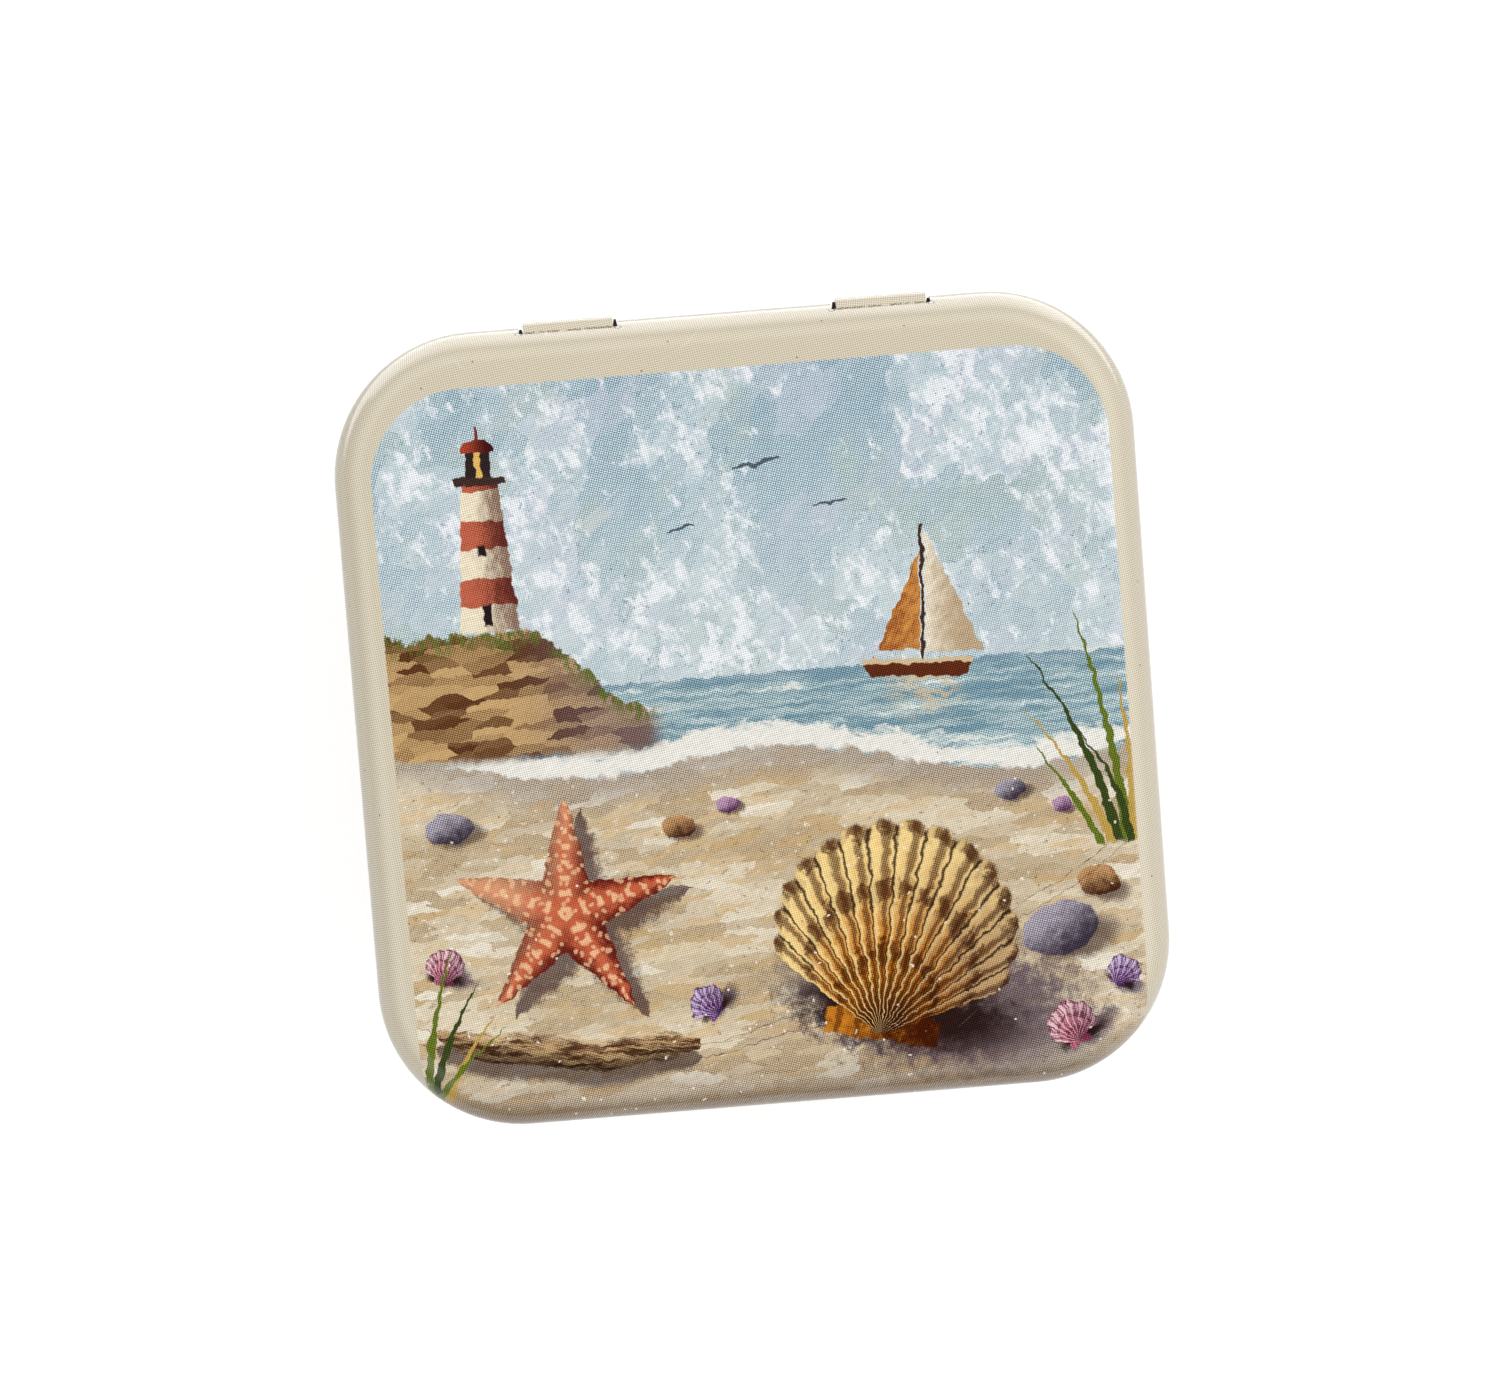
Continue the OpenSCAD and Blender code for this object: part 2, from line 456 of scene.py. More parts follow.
def paintSea(on, under):
    tree = on.tree
    ripple = grain(tree, on.place, 0.5, 5, 0.65, (0.22, 2.4), 1)
    water = lay(
        tree, (142, 172, 183),
        (ripple.fade(0.36, 0.62), (196, 212, 213)),
        (on.y.fade(1.6, 3.0) * 0.6, (150, 176, 188)),
        (ripple.fade(0.60, 0.66) * 0.85, (238, 240, 233)),
    )
    reach = on.y - shoreAt(on.x) + (grain(tree, on.place, 0.55, 5, 0.7, (0.5, 1.2)) - 0.5) * 3.4
    foam = abs(reach - 0.7).fade(1.3, 0.7)
    return lay(tree, under, (on.y.fade(3.15, 2.95), water), (foam, (243, 241, 234)))


def paintSand(on, under):
    tree = on.tree
    patch = grain(tree, on.ground, 0.16, 3, 0.6, (0.6, 1.5), 4)
    streak = grain(tree, on.ground, 0.3, 3, 0.6, (0.5, 1.4))
    fleck = grain(tree, on.place, 1.5, 5, 0.75, (0.7, 1.6), 6)
    edge = on.y - shoreAt(on.x) + (grain(tree, on.place, 0.5, 3, 0.6) - 0.5) * 1.4
    sand = lay(
        tree, (205, 187, 158),
        (patch.fade(0.40, 0.62), (233, 222, 200)),
        (streak.fade(0.56, 0.66) * 0.8, (246, 240, 226)),
        (on.groundOwn.fade(0.6, 1.0) * 0.5, (222, 192, 142)),
        (fleck.fade(0.60, 0.70) * 0.7, (168, 142, 116)),
        (fleck.fade(0.38, 0.30) * 0.8, (250, 246, 238)),
        # Painted shade: the sand turns brown along the front edge, where the print runs over the front
        # rounding and skirt
        (on.y.fade(-25, -30) * 0.75, (150, 132, 114)),
        (edge.fade(-3.4, -0.6) * 0.7, (186, 176, 166)),
    )
    return blend(tree, edge.fade(0.1, -0.25), under, sand)


def paintHeadland(on, under):
    tree, x, y = on.tree, on.x, on.y
    top = x.fade(-8, -17) * 6.4 + 1.4 + (grain(tree, on.place, 0.5, 4, 0.65) - 0.5) * 2.6
    body = (top - y).fade(0, 0.3) * y.fade(-2.4, -1.4) * x.fade(-6.5, -8.5)
    light = grain(tree, on.ground, 0.34, 3, 0.6, (0.7, 1.5), -28)
    tufts = grain(tree, on.place, 1.1, 4, 0.7, (2.2, 0.7)).fade(0.42, 0.56)
    rock = lay(
        tree, (122, 84, 56),
        (light.fade(0.36, 0.62), (214, 184, 138)),
        (x.fade(-20, -9) * 0.55, (142, 130, 140)),
        ((top - y).fade(2.0, 0.4) * tufts, (124, 134, 74)),
    )
    return blend(tree, body, under, rock)


def paintLighthouse(on, under, at):
    tree = on.tree
    x, y = within(on, at)
    rise = y / 10.8
    side = x / (2.3 - rise * 0.9)
    body = abs(side).fade(1.0, 0.93) * y.fade(-0.6, -0.3) * rise.fade(1.0, 0.985)
    bulge = side + (grain(tree, on.place, 1.3, 4, 0.7, (1.8, 0.6)) - 0.5) * 1.5
    white = blend(tree, bulge.fade(-0.5, 0.9), (246, 236, 214), (166, 142, 126))
    red = blend(tree, bulge.fade(-0.6, 0.9), (204, 110, 82), (120, 58, 50))
    bands = (rise * 15.7 + 4.2).sine().fade(0.0, 0.12)
    panes = abs(rise - 0.52).fade(0.045, 0.03).most(abs(rise - 0.07).fade(0.08, 0.06))
    lamp = abs(x).fade(1.0, 0.9) * y.fade(10.9, 11.0) * y.fade(13.0, 12.9)
    bx, by = x / 1.3, (y - 12.9) / 1.15
    dome = (bx * bx + by * by).fade(1.0, 0.9) * by.fade(-0.02, 0.02)
    dome = dome.most(abs(bx).fade(0.14, 0.08) * by.fade(0.8, 0.9) * by.fade(1.7, 1.6))
    rail = abs(x).fade(1.95, 1.85) * y.fade(10.5, 10.6) * y.fade(11.15, 11.05)
    return lay(
        tree, under,
        (body, blend(tree, bands * 0.92, white, red)),
        (abs(x + 0.2).fade(0.42, 0.30) * panes, (64, 50, 52)),
        (lamp, blend(tree, (x * 5.2).cosine().fade(0.2, 0.6), (74, 62, 62), (236, 202, 126))),
        (dome, blend(tree, bx.fade(-0.8, 0.7), (190, 96, 72), (96, 46, 44))),
        (rail, (92, 72, 66)),
    )


def paintBoat(on, under, at):
    tree = on.tree
    x, y = within(on, at, (1.05, 1.05), -3)
    stroke = grain(tree, on.place, 1.2, 4, 0.7, (0.7, 1.4), 60)
    glint = grain(tree, on.place, 1.0, 3, 0.6, (0.6, 2.6)).fade(0.46, 0.56) * 0.8
    mirrored = abs(x + y * 0.2).fade(3.4, 1.2) * y.fade(-4.0, -0.5) * y.fade(0.4, 0.0) * glint
    main = (1 - ((x - 0.45) / 4.1 + (y - 1.7) / 8.9)).fade(0, 0.02) * x.fade(0.42, 0.5) * y.fade(1.65, 1.75)
    jib = (1 - ((0.05 - x) / 3.1 + (y - 1.9) / 7.0)).fade(0, 0.02) * x.fade(0.1, 0.02) * y.fade(1.85, 1.95)
    mast = abs(x - 0.25).fade(0.15, 0.08) * y.fade(1.0, 1.1) * y.fade(10.9, 10.8)
    hull = (3.5 + y * 0.5 - abs(x + 0.2)).fade(0, 0.1) * y.fade(-0.05, 0.05) * y.fade(1.3, 1.2)
    return lay(
        tree, under,
        (mirrored, (226, 208, 178)),
        (main, blend(tree, (x * 0.3 + stroke - 0.4).fade(-0.1, 1.0), (250, 243, 226), (206, 186, 158))),
        (jib, blend(tree, (stroke - x * 0.1).fade(0.3, 0.9), (226, 172, 102), (176, 112, 66))),
        (mast, (98, 70, 54)),
        (hull, blend(tree, y.fade(0.85, 0.95), (122, 70, 46), (224, 204, 170))),
    )


def paintGull(on, under, at, span):
    x, y = within(on, at, (span, span), 8)
    wing = abs(y - abs(x) * 0.62 + x * x * 0.5) - 0.10 + abs(x) * 0.07
    return blend(on.tree, wing.fade(0.03, -0.01) * abs(x).fade(1.0, 0.9), under, (112, 124, 134))


def paintStone(on, under, at, size, degrees, pale, dark):
    tree = on.tree
    x, y = within(on, at, size, degrees)
    tone = (x * 0.45 - y * 0.75 + (grain(tree, on.place, 1.4, 4, 0.7) - 0.5) * 1.3).fade(-0.7, 0.75)
    return lay(
        tree, under,
        (spot(x, y, (0.35, -0.5), (1.25, 0.9), 1.1, 0.3) * 0.75, (112, 92, 86)),
        (away(x, y).fade(1.02, 0.93), blend(tree, tone, pale, dark)),
    )


def paintFan(on, under, at, radius, degrees, ribs, inks):
    # A ribbed shell, fanned out from its hinge; inks are its pale, middle and deep colours
    tree = on.tree
    pale, middle, deep = inks
    x, y = within(on, at, (radius, radius), degrees)
    stroke = grain(tree, on.place, 0.9, 5, 0.7) - 0.5
    cast = spot(x + stroke * 0.5, y + stroke * 0.35, (0.24, 0.20), (0.80, 0.36), 1.2, 0.25)
    below = spot(x + stroke * 0.3, y + stroke * 0.2, (0.10, 0.13), (0.62, 0.20), 1.1, 0.2)
    ears = abs(x).fade(0.27, 0.255) * y.fade(-0.03, -0.015) * (y + abs(x) * 0.35).fade(0.19, 0.175)
    wing = lay(
        tree, middle,
        ((x + stroke * 0.8).fade(-0.3, 0.2), deep),
        ((abs(x) * 70 + stroke * 3).sine().fade(0.2, 0.9) * 0.6, deep),
    )
    under = lay(tree, under, (cast * 0.85, (112, 94, 108)), (below * 0.9, (54, 28, 20)), (ears, wing))
    turn = x.maths("ARCTAN2", y)
    spread = turn / 1.08
    rib = turn * (ribs * math.pi / 2.16)
    lobe = abs(rib.cosine())
    flank = (rib * 2 + 0.7).sine()
    ratio = away(x, y) / (turn.cosine().most(0.05) ** 0.72 + lobe * 0.035 - 0.02)
    rings = (ratio * 21 + stroke * 5).sine().fade(0.35, 0.95) * ratio.fade(0.15, 0.4)
    colour = lay(
        tree, pale,
        ((ratio + stroke * 0.5).fade(0.98, 0.25), middle),
        (ratio.fade(0.42, 0.05), deep),
        (rings * 0.7, deep),
        (flank.fade(0.15, 1.0) * 0.65, deep),
        (flank.fade(-0.35, -1.0) * 0.75, pale),
        (lobe.fade(0.30, 0.05) * 0.85, (60, 32, 22)),
    )
    shade = (spread + (1 - ratio) * 0.3 + stroke * 0.8).fade(-0.05, 1.0)
    colour = blend(tree, shade * 0.75, colour, (0.50, 0.42, 0.50, 1), "MULTIPLY")
    body = ratio.fade(1.0, 0.975) * abs(spread).fade(1.0, 0.98) * y.fade(0, 0.02)
    return blend(tree, body, under, colour)


def paintStar(on, under, at, radius, degrees, inks):
    tree = on.tree
    pale, middle, deep = inks

    def arms(x, y):
        # How far out along the nearest arm, and how far across it as a share of its width
        far = away(x, y)
        turn = y.maths("ARCTAN2", x)
        fold = abs((turn * (2.5 / math.pi) + 100.5).maths("FRACT") - 0.5) * (0.4 * math.pi)
        along = far * fold.cosine()
        width = (1 - along).most(0) ** 0.75 * 0.27
        return along, far * fold.sine() / width.most(0.01) + (along - 1).most(0) * 50

    x, y = within(on, at, (radius, radius), degrees)
    stroke = grain(tree, on.place, 1.5, 4, 0.7) - 0.5
    cast = arms(x - 0.10, y + 0.14)[1]
    under = blend(tree, (cast + stroke * 1.6).fade(1.5, 0.6) * 0.8, under, (104, 80, 82))
    along, ratio = arms(x, y)
    colour = lay(
        tree, middle,
        ((ratio + stroke).fade(0.1, 1.0), deep),
        (((y - x) * 0.84 + stroke).fade(-0.1, 0.8) * 0.55, pale),
        ((along * 46).sine().fade(0.1, 0.8) * ratio.fade(0.30, 0.16) * 0.9, pale),
        (cells(tree, on.place, 1.25).far.fade(0.30, 0.16) * 0.7, pale),
    )
    return blend(tree, ratio.fade(1.0, 0.9), under, colour)


def paintDriftwood(on, under, at, degrees):
    tree = on.tree
    x, y = within(on, at, (10, 1.5), degrees)
    y = y - x * x * 0.7 + (x * 7).sine() * 0.12
    width = ((1 - abs(x) ** 3).most(0) ** 0.5 * 0.9).most(0.02)
    fibre = grain(tree, on.place, 1.1, 5, 0.7, (0.25, 2.2), degrees)
    bulge = y + fibre - 0.5
    wood = lay(
        tree, (112, 78, 54),
        (fibre.fade(0.38, 0.6), (206, 178, 138)),
        (bulge.fade(0.3, -0.8) * 0.75, (50, 30, 24)),
        (bulge.fade(0.3, 0.9) * 0.8, (236, 218, 188)),
    )
    return lay(
        tree, under,
        ((abs(y + 0.75) / width).fade(1.3, 0.6) * 0.75, (98, 78, 76)),
        ((abs(y) / width).fade(1.0, 0.86), wood),
    )


def paintBlades(on, under, blades):
    for root, height, lean, curl, width, tint in blades:
        rise = (on.y - root[1]) / height
        middle = rise * lean + rise * rise * curl + root[0]
        body = ((1 - rise) * width + 0.05 - abs(on.x - middle)).fade(-0.03, 0.06)
        under = blend(on.tree, body * rise.fade(0, 0.03) * rise.fade(1.0, 0.97), under, tint)
    return under


def paintFlecks(on, under):
    tree = on.tree
    cell = cells(tree, on.place, 0.85)
    fleck = cell.far.fade(0.11, 0.05) * cell.own.fade(0.86, 0.88)
    under = blend(tree, fleck * on.y.fade(2, -8) * 0.85, under, (250, 244, 234))
    bristle = (grain(tree, on.place, 2.4, 3, 0.6, (0.4, 2.0), 30) - 0.5) * 0.3 + 1
    return wire(tree, "HueSaturation", {"Value": bristle, "Color": under}).outputs[0]


picture = {
    "left": -27.2, "right": 27.9, "top": 26.0,  # mm from the lid's middle; it runs off over the front
    "cornerR": 7.0,
    "border": (214, 204, 181),
    "contrast": 1.3,
    "light": (1.24, 1.235, 1.24, 1),
    "skyDabs": ((2.1, 0.85), 58),  # size of a brush dab, and its turn
    "sandDabs": ((2.6, 0.6), 5),
    "shake": 0.62,  # width of the band in which an edge strays
    "shakeScale": 0.9,
    "screen": 0.17,  # pitch of the print's dots
    "screenTurns": (70, 9),
    "screenDepths": (1.35, 0.52),
    "dotMean": 0.37,  # taken off the dots, so that they leave the tone as it is
    "lighthouse": (-19.2, 8.2),
    "boat": (12.5, 1.9),
}
# Pale, middle and deep, or pale and deep
shellInks = {
    "golden": ((252, 228, 170), (216, 150, 60), (94, 44, 16)),
    "coral": ((246, 206, 168), (212, 124, 92), (124, 48, 40)),
    "rose": ((246, 214, 216), (212, 132, 150), (136, 66, 96)),
    "violet": ((226, 206, 232), (164, 120, 176), (90, 58, 110)),
}
stoneInks = {
    "slate": ((186, 180, 190), (88, 78, 92)),
    "brown": ((206, 168, 124), (98, 64, 46)),
    "plum": ((204, 172, 196), (110, 72, 110)),
}


def paintPicture(tree, place):
    canvas = shakenCanvas(tree, place)
    brushed, skyOwn = dabs(tree, canvas, *picture["skyDabs"])
    lying, groundOwn = dabs(tree, canvas, *picture["sandDabs"])
    x, y = across(tree, canvas)
    on = SimpleNamespace(
        tree=tree, place=canvas, sky=brushed, skyOwn=skyOwn, ground=lying, groundOwn=groundOwn, x=x, y=y,
    )
    colour = layer(on, (1, 1, 1, 1), paintSky)
    for at, span in (((1.5, 18.5), 1.9), ((6.8, 15.2), 1.4), ((-4.5, 14.2), 1.1)):
        colour = layer(on, colour, paintGull, at, span)
    colour = layer(on, colour, paintSea)
    colour = layer(on, colour, paintHeadland)
    colour = layer(on, colour, paintLighthouse, picture["lighthouse"])
    colour = layer(on, colour, paintBoat, picture["boat"])
    colour = layer(on, colour, paintSand)
    for at, size, degrees, inks in (
        ((21.6, -18.0), (3.0, 2.1), 12, "slate"), ((24.8, -14.6), (1.7, 1.2), -10, "brown"),
        ((-23.6, -6.8), (1.9, 1.2), 5, "slate"), ((-6.4, -8.0), (1.3, 0.9), 0, "brown"),
        ((-2.6, -6.6), (0.9, 0.6), 0, "plum"), ((18.6, -7.2), (1.2, 0.8), 10, "slate"),
        ((22.4, -8.6), (0.8, 0.6), 0, "plum"), ((-9.0, -24.6), (1.2, 0.9), 20, "plum"),
    ):
        colour = layer(on, colour, paintStone, at, size, degrees, *stoneInks[inks])
    colour = layer(on, colour, paintDriftwood, (-16.0, -24.4), -6)
    colour = layer(on, colour, paintStar, (-15.4, -13.8), 8.6, 14, shellInks["coral"])
    for at, radius, degrees, ribs, inks in (
        ((7.5, -25.0), 16.5, -13, 15, "golden"), ((22.6, -26.8), 3.4, 24, 9, "rose"),
        ((25.6, -22.6), 2.3, -30, 7, "violet"), ((-4.6, -22.4), 2.5, 38, 7, "violet"),
        ((-25.0, -18.4), 2.6, -12, 9, "rose"),
    ):
        colour = layer(on, colour, paintFan, at, radius, degrees, ribs, shellInks[inks])
    fresh, olive, straw = (128, 142, 62), (84, 98, 52), (206, 178, 104)
    colour = layer(on, colour, paintBlades, (
        ((26.5, -12), 15, -2.4, -3.6, 0.42, olive), ((27.2, -12), 18, -1.0, -2.0, 0.45, fresh),
        ((26.0, -12), 11, -3.0, -3.2, 0.34, straw), ((27.6, -12), 13, 0.8, -1.2, 0.38, straw),
        ((25.2, -12), 8, -3.2, -1.4, 0.32, fresh), ((27.4, -12), 9, -0.5, -3.0, 0.34, olive),
        ((-26.6, -28), 9.5, 2.2, 2.0, 0.42, olive), ((-27.0, -28), 12, 1.2, 1.6, 0.40, fresh),
        ((-25.6, -28), 7, 2.6, 1.8, 0.34, straw), ((-26.4, -28), 6, 3.4, 2.6, 0.34, fresh),
    ))
    colour = layer(on, colour, paintFlecks)
    return wire(tree, "Gamma", {"Color": colour, "Gamma": picture["contrast"]}).outputs[0]


def framePicture(tree, place, colour):
    # The picture has round upper corners and a plain border
    x, y = across(tree, place)
    middle = (picture["left"] + picture["right"]) / 2
    halfW = (picture["right"] - picture["left"]) / 2 - picture["cornerR"]
    over = (abs(x - middle) - halfW).most(0)
    up = (y - picture["top"] + picture["cornerR"]).most(0)
    far = away(over, up) + (grain(tree, place, 3.0, 3, 0.6) - 0.5) * 0.12
    return blend(tree, (far - picture["cornerR"]).fade(0.06, -0.06), picture["border"], colour)


def screenDots(tree, place, colour):
    # Two dot screens, turned against each other: a strong one where the print is blue or deep, and a
    # faint one all over
    red = Field(tree, wire(tree, "SeparateColor", {0: colour}).outputs[0])
    strong, faint = picture["screenDepths"]
    pitch = picture["screen"] / (2 * math.pi)
    for degrees, depth in zip(picture["screenTurns"], (red.fade(0.56, 0.32) * strong, faint)):
        group, source = newGroup("screen", {"place": "vector"}, {"place": "vector"})
        closeGroup(group, mapped(group, source[0], (0, 0), (pitch, pitch), degrees))
        x, y = across(tree, useGroup(tree, group, {0: place})[0])
        dot = (x.cosine() + y.cosine()).fade(-0.8, 1.6)
        value = (picture["dotMean"] - dot) * depth + 1
        colour = wire(tree, "HueSaturation", {"Value": value, "Color": colour}).outputs[0]
    return colour


def paintSpecks(on, under):
    # Specks of dust in the varnish, and hair scratches
    tree = on.tree
    cell = cells(tree, on.place, 0.22)
    speck = cell.far.fade(0.018, 0.008) * cell.own.fade(0.55, 0.60)
    hair = abs(grain(tree, on.place, 0.10, 1, 0.5, (0.3, 1.6), 37) - 0.5).fade(0.0012, 0.0004)
    hair = hair * grain(tree, on.place, 0.2, 1).fade(0.52, 0.62)
    return lay(tree, under, (speck * 0.85, (84, 66, 52)), (hair * 0.30, (238, 232, 220)))


def paintHinges(on, under):
    # Along each tongue's bend the print has a broken dark line and pale chips, and at each slit's end a
    # pale chip inside a darker ring
    tree = on.tree
    side = abs(on.x) - tongue["spacing"] / 2 / mm
    crease = on.y - creaseV / mm
    lineBreaks = grain(tree, on.place, 1.7, 3, 0.7, (1.0, 0.3))
    halfW = tongue["width"] / 2 / mm
    along = abs(side).fade(halfW + 0.05, halfW - 0.05)
    chip = abs(crease + 0.08).fade(0.14, 0.06) * along
    chip = chip * grain(tree, on.place, 1.3, 3, 0.6, (1, 0.4)).fade(0.63, 0.68)
    line = abs(crease - 0.07 + (lineBreaks - 0.5) * 0.12).fade(0.11, 0.04) * along
    ends = abs(side) - halfW - 0.34
    far = (ends * ends * 0.8 + crease * crease * 1.6) ** 0.5
    far = far + (grain(tree, on.place, 2.4, 3, 0.7) - 0.5) * 0.5
    return lay(
        tree, under,
        (chip * 0.7, (246, 242, 232)),
        (line * lineBreaks.fade(0.36, 0.52) * 0.7, (128, 110, 90)),
        (far.fade(0.30, 0.22) * 0.7, (92, 80, 70)),
        (far.fade(0.17, 0.11) * 0.8, (240, 236, 226)),
    )


def paintHem(on, under):
    # Small chips down to the bare steel along the skirt's lower edge
    tree = on.tree
    over, up = (abs(way) - cornerC / mm for way in (on.x, on.y))
    reach = away(over.most(0), up.most(0)) - hemReach / mm
    chip = grain(tree, on.place, 0.8, 4, 0.7)
    worn = abs(reach + 0.05).fade(0.30, 0.05) * chip.fade(0.56, 0.62)
    return blend(tree, worn * 0.9, under, (150, 146, 140))


def printPlace():
    # Where a point lies on the print, in mm
    group, source = newGroup("print_place", {}, {"place": "vector"})
    flat = wire(group, "UVMap", {}, uv_map="print").outputs[0]
    closeGroup(group, mapped(group, flat, (0, 0), (mm, mm)))
    return group


def newMaterial(name):
    material = bpy.data.materials.new(name)
    material.use_nodes = True
    return material, material.node_tree, material.node_tree.nodes["Principled BSDF"]


varnish = {
    "roughness": 0.16,
    "waves": ((1.4, 0.25), (0.12, 3.0)),  # scale and height of its own, and of the sheet's
    "relief": 0.004 * mm,
}


def printedMaterial(name, picturePaint=None, wear=()):
    material, tree, shader = newMaterial(name)
    place = useGroup(tree, printPlace(), {})[0]
    colour = wire(tree, "RGB", {}).outputs[0]
    colour.default_value = ink(*picture["border"])
    if picturePaint:
        colour = framePicture(tree, place, picturePaint(tree, place))
    x, y = across(tree, place)
    on = SimpleNamespace(tree=tree, place=place, x=x, y=y)
    for paint in (*wear, paintSpecks):
        colour = layer(on, colour, paint)
    colour = screenDots(tree, place, colour)
    peel, swell = (grain(tree, place, scale) * high for scale, high in varnish["waves"])
    bump = wire(tree, "Bump", {"Height": peel + swell, "Distance": varnish["relief"], "Strength": 1.0})
    feed(tree, shader, {
        "Base Color": blend(tree, 1.0, colour, picture["light"], "MULTIPLY"),
        "Roughness": 0.5,
        "Specular IOR Level": 0.0,  # the ink is matt under its varnish
        "Coat Weight": 1.0,
        "Coat Roughness": varnish["roughness"],
        "Normal": bump.outputs[0],
        "Coat Normal": bump.outputs[0],
    })
    return material


metal = {
    "streaks": (0.25 / mm, 6.0 / mm, 6.0 / mm),  # the sheet is rolled along x
    "clouds": 0.12 / mm,
    "dark": 0.86,
    "relief": 0.003 * mm,
}


def metalMaterial(name, colour, roughness, streak):
    material, tree, shader = newMaterial(name)
    place = wire(tree, "TexCoord", {}).outputs["Object"]
    rolled = wire(tree, "Mapping", {"Vector": place, "Scale": metal["streaks"]}).outputs[0]

    def noise(vector, scale, detail):
        feeds = {"Vector": vector, "Scale": scale, "Detail": detail}
        return Field(tree, wire(tree, "TexNoise", feeds).outputs[0])

    fine = noise(rolled, 1.0, 4.0)
    cloud = noise(place, metal["clouds"], 3.0)
    dark = [part * metal["dark"] for part in colour]
    height = fine * 0.4 + cloud * 3
    bump = wire(tree, "Bump", {"Height": height, "Distance": metal["relief"], "Strength": 1.0})
    feed(tree, shader, {
        "Base Color": blend(tree, (fine * 0.6 + cloud * 0.4).fade(0.35, 0.65), (*dark, 1), (*colour, 1)),
        "Metallic": 1.0,
        "Roughness": fine * streak + cloud * 0.10 + roughness - streak * 0.5,
        "Normal": bump.outputs[0],
    })
    return material


lacqueredTin = metalMaterial("lacquered_tinplate", (0.80, 0.78, 0.73), 0.26, 0.16)
cutSteel = metalMaterial("cut_steel", (0.55, 0.54, 0.52), 0.42, 0.10)
# Near-black steel for the burrs in the slits: painted shade, standing in for the dark hole at each slit's
# end
burrShadeSteel = metalMaterial("sheared_steel", (0.03, 0.025, 0.02), 0.6, 0.10)


lid = {
    "edgeR": 2.6 * mm,  # rounding between the top and the skirt
    "height": 8 * mm,  # down to the bottom of the skirt
    "hemH": 1.2 * mm,
    "hemR": 0.14 * mm,  # of the middle of the sheet, where it turns back inside the skirt
    "skirtEndR": 2 * mm,
    "stepUpR": 0.8 * mm,
    "backGap": 0.1 * mm,  # from the pin's middle up to the short back edge
    "slitW": 0.35 * mm,
    "slitDrop": 0.15 * mm,  # from the tongues' bend down to the slits' top
    "roundSteps": 16,
    "hemSteps": 8,
    "skirtEndSteps": 12,
    "stepUpSteps": 8,
    "cornerSteps": 24,
}
tongue = {
    "width": 6.7 * mm,
    "spacing": 23.4 * mm,
    "root": 0.4 * mm,  # in front of the lid's back, where it springs out of the rounding
    "runGap": 0.08 * mm,
    "endAngle": 100,  # 90 is above the pin
    "slope": 14,  # degrees, of the flat stretch behind the bend
    "shoulderR": 0.475 * mm,
    "buried": 0.12 * mm,  # of the sheet, in front of the bend
    "bowStart": 48,  # degrees from above the pin
    "shoulderSteps": 8,
    "steps": 20,
}
burr = {
    "size": (0.37 * mm, 0.56 * mm, 0.18 * mm),
    "shares": ((1, 1.0), (-1, 0.6)),  # of that length and height, on each side of a tongue
    "back": 0.55,  # of its length, from the bend to its middle
    "rearW": 0.45,  # of its width
    "down": 0.9,  # of its height, like the next three
    "frontH": 0.5,
    "rearDown": 0.7,
    "edgeR": 0.2,
}
dimple = {
    "spacing": 24 * mm,
    "drop": 1 * mm,  # below the rim's underside
    "depth": 0.25 * mm,
    "reach": 1.5 * mm,
    "patch": 1.7 * mm,
    "cuts": 15,
}
skirtZ = topZ - lid["height"]
backEdgeZ = pinZ + lid["backGap"]
rootY = half - tongue["root"]
rootZ = topZ - lid["edgeR"] + math.sqrt(lid["edgeR"] ** 2 - (lid["edgeR"] - tongue["root"]) ** 2)

# Where the tongues' bend and the skirt's lower edge lie on the flat print, from the lid's middle
rootTurn = math.asin(1 - tongue["root"] / lid["edgeR"])
creaseV = half - lid["edgeR"] + lid["edgeR"] * rootTurn
hemReach = cornerR - lid["edgeR"] + lid["edgeR"] * math.pi / 2 + lid["height"] - lid["edgeR"]

lidSheet = (printedMaterial("lid_print", paintPicture, (paintHinges, paintHem)), lacqueredTin, cutSteel)
tongueSheet = (printedMaterial("hinge_print", None, (paintHinges,)), lacqueredTin, cutSteel)
baseSheet = (printedMaterial("base_print"), lacqueredTin, cutSteel)
print("finishes mixed")


def pressDimples(shell):
    # A square patch of the front skirt is cut finer, and its middle is pushed in with a soft falloff
    z = pinZ - rimR - dimple["drop"]
    y = middleY - half + sheetT / 2
    reach = dimple["patch"]

    def onFront(centre, normal):
        return abs(centre.y - y) < near and skirtZ < centre.z < topZ - lid["edgeR"]

    for side in (-1, 1):
        x = side * dimple["spacing"] / 2
        for end in (-reach, reach):
            for way in (Vector((1, 0, 0)), Vector((0, 0, 1))):
                pick(shell, "FACE", onFront)
                bpy.ops.mesh.bisect(plane_co=Vector((x, y, z)) + way * end, plane_no=way)
        pick(shell, "FACE", lambda c, n: onFront(c, n) and abs(c.x - x) < reach and abs(c.z - z) < reach)
        bpy.ops.mesh.subdivide(number_cuts=dimple["cuts"])
        pick(shell, "VERT", lambda p: (p - Vector((x, y, z))).length < 2 * near)
        bpy.ops.transform.translate(
            value=(0, dimple["depth"], 0), use_proportional_edit=True,
            proportional_edit_falloff="SMOOTH", proportional_size=dimple["reach"],
            use_proportional_connected=True,
        )
    bpy.ops.object.mode_set(mode="OBJECT")


